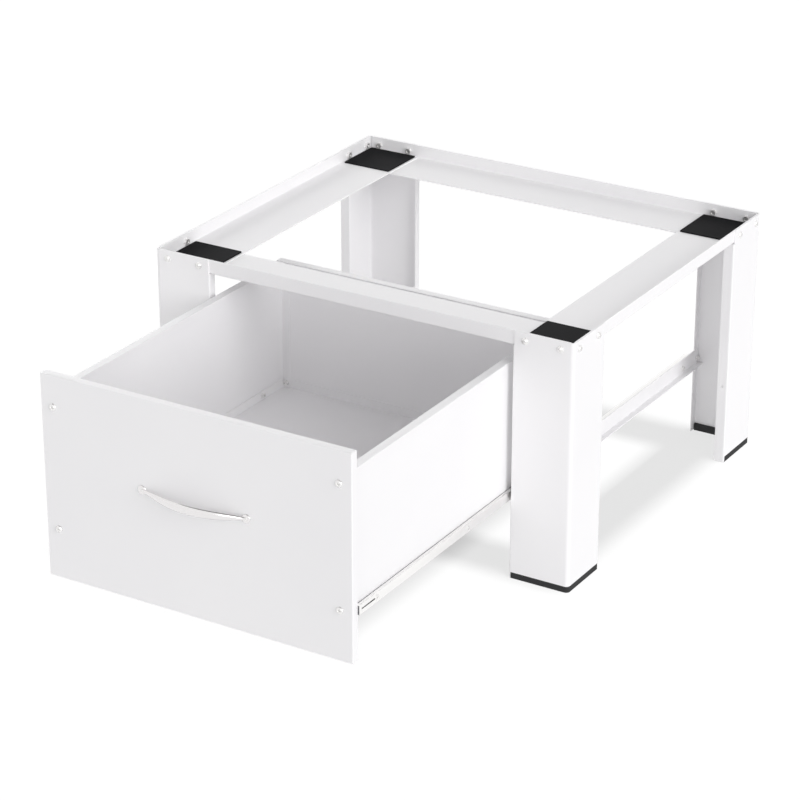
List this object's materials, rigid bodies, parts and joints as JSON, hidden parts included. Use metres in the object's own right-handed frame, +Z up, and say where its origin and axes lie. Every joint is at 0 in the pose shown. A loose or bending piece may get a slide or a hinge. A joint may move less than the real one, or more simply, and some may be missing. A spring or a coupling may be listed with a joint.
{
  "type": "washer pedestal drawer",
  "caption": "Low steel stand for a front-loading washer or dryer, with folded corner legs, an open tray with rubber pads, and a storage drawer on ball-bearing slides.",
  "frame": {"origin": "on the floor, under the middle of the box round the whole pedestal as it stands with its drawer drawn out", "axes": "+X to the right when facing the drawer front, +Y from the drawer front to the rear, +Z up"},
  "size_m": [0.6354, 0.9337, 0.345],
  "materials": {
    "white_paint": "white powder coat on steel, satin",
    "foot_rubber": "matt black moulded rubber",
    "pad_rubber": "matt black rubber sheet",
    "zinc_fastener": "bright zinc plating",
    "slide_steel": "zinc-plated cold-rolled steel",
    "cage_brass": "stamped steel strip",
    "ball_steel": "ground bearing steel",
    "handle_chrome": "polished chrome plating"
  },
  "bodies": {
    "pedestal": {"rail_front": "white_paint", "rail_rear": "white_paint", "rail_left": "white_paint", "rail_right": "white_paint", "leg_front_left": "white_paint", "leg_front_right": "white_paint", "leg_rear_left": "white_paint", "leg_rear_right": "white_paint", "foot_front_left": "foot_rubber", "foot_front_right": "foot_rubber", "foot_rear_left": "foot_rubber", "foot_rear_right": "foot_rubber", "pad_front_left": "pad_rubber", "pad_front_right": "pad_rubber", "pad_rear_left": "pad_rubber", "pad_rear_right": "pad_rubber", "frame_screws": "zinc_fastener", "frame_nuts": "zinc_fastener", "beam_left": "white_paint", "beam_right": "white_paint", "beam_screws": "zinc_fastener", "slide_outer_left": "slide_steel", "slide_outer_right": "slide_steel", "slide_outer_screws": "zinc_fastener", "beam_nuts": "zinc_fastener", "slide_outer_nuts": "zinc_fastener"},
    "drawer": {"slide_inner_left": "slide_steel", "slide_inner_right": "slide_steel", "slide_inner_screws": "zinc_fastener", "slide_inner_nuts": "zinc_fastener", "drawer_front": "white_paint", "drawer_side_left": "white_paint", "drawer_side_right": "white_paint", "drawer_back": "white_paint", "drawer_bottom": "white_paint", "front_screws": "zinc_fastener", "front_nuts": "zinc_fastener", "back_screws": "zinc_fastener", "back_nuts": "zinc_fastener", "handle": "handle_chrome", "handle_screws": "zinc_fastener"},
    "cage_left": {"ball_cage_left": "cage_brass", "slide_balls_left": "ball_steel"},
    "cage_right": {"ball_cage_right": "cage_brass", "slide_balls_right": "ball_steel"}
  },
  "joints": [
    {"name": "drawer_slide", "type": "slide", "parent": "pedestal", "child": "drawer", "axis": [0, -1, 0], "range_m": [-0.37, 0]},
    {"name": "cage_left_slide", "type": "slide", "parent": "pedestal", "child": "cage_left", "axis": [0, -1, 0], "range_m": [-0.185, 0]},
    {"name": "cage_right_slide", "type": "slide", "parent": "pedestal", "child": "cage_right", "axis": [0, -1, 0], "range_m": [-0.185, 0]}
  ],
  "couplings": [
    {"joint": "cage_left_slide", "follows": "drawer_slide", "ratio": 0.5},
    {"joint": "cage_right_slide", "follows": "drawer_slide", "ratio": 0.5}
  ]
}
